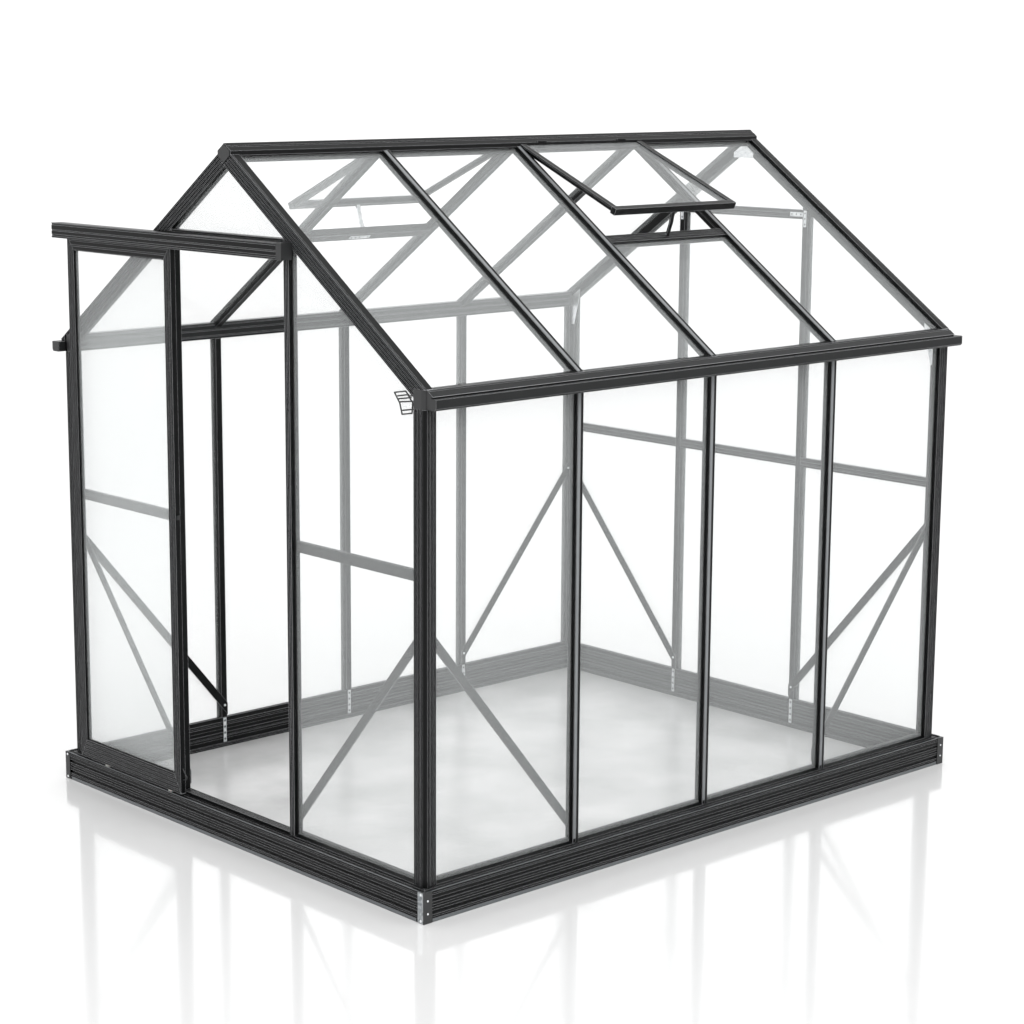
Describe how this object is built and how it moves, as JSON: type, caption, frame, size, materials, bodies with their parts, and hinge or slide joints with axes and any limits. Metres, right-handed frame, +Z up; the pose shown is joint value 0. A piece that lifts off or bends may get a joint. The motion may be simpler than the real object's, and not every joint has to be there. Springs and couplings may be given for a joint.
{
  "type": "glass greenhouse",
  "caption": "Gabled glass greenhouse with a dark coated aluminium frame on a ribbed plinth, a sliding door on the front gable and roof windows held open.",
  "frame": {"origin": "on the ground, under the middle of the frame", "axes": "+Z up; +Y along the ridge, from the door gable to the back gable; +X to the right seen from in front of the door"},
  "size_m": [2.018, 2.58, 2.318],
  "materials": {
    "black_powder_coat": "satin powder coat on extruded aluminium",
    "black_plastic": "smooth moulded plastic",
    "galvanised_steel": "bright galvanised sheet",
    "white_nylon": "smooth turned nylon",
    "glass": "clear horticultural glass, 3 mm"
  },
  "bodies": {
    "frame": {"anchor_strips": "galvanised_steel", "back_collar": "black_powder_coat", "back_studs": "black_powder_coat", "base_back": "black_powder_coat", "base_corner_caps": "black_plastic", "base_corner_plates": "galvanised_steel", "base_front": "black_powder_coat", "base_left": "black_powder_coat", "base_right": "black_powder_coat", "braces_gables": "black_powder_coat", "braces_sides": "black_powder_coat", "corner_caps": "black_plastic", "corner_posts": "black_powder_coat", "door_posts": "black_powder_coat", "door_threshold": "black_powder_coat", "door_track": "black_powder_coat", "front_collar": "black_powder_coat", "glass_back": "glass", "glass_front": "glass", "glass_left": "glass", "glass_right": "glass", "glass_roof_left": "glass", "glass_roof_right": "glass", "gussets": "galvanised_steel", "gutters": "black_powder_coat", "mid_rails_back": "black_powder_coat", "mid_rails_front": "black_powder_coat", "rafters_left": "black_powder_coat", "rafters_right": "black_powder_coat", "ridge_bar": "black_powder_coat", "ridge_plates": "black_plastic", "roof_bars_left": "black_powder_coat", "roof_bars_right": "black_powder_coat", "side_bars_left": "black_powder_coat", "side_bars_right": "black_powder_coat", "sill_back": "black_powder_coat", "sills_front": "black_powder_coat", "sills_sides": "black_powder_coat", "track_cap": "black_plastic", "window_cross_rails": "black_powder_coat", "window_crossbars": "black_powder_coat", "window_glass": "glass", "window_side_rails": "black_powder_coat", "window_stay_left": "galvanised_steel", "window_stay_right": "black_powder_coat"},
    "door": {"door_bottom_rail": "black_powder_coat", "door_glass": "glass", "door_guides": "white_nylon", "door_hangers": "galvanised_steel", "door_latch": "black_plastic", "door_rollers": "white_nylon", "door_stiles": "black_powder_coat", "door_top_rail": "black_powder_coat"}
  },
  "joints": [
    {"name": "door_slide", "type": "slide", "parent": "frame", "child": "door", "axis": [1, 0, 0], "range_m": [0, 0.584]}
  ]
}
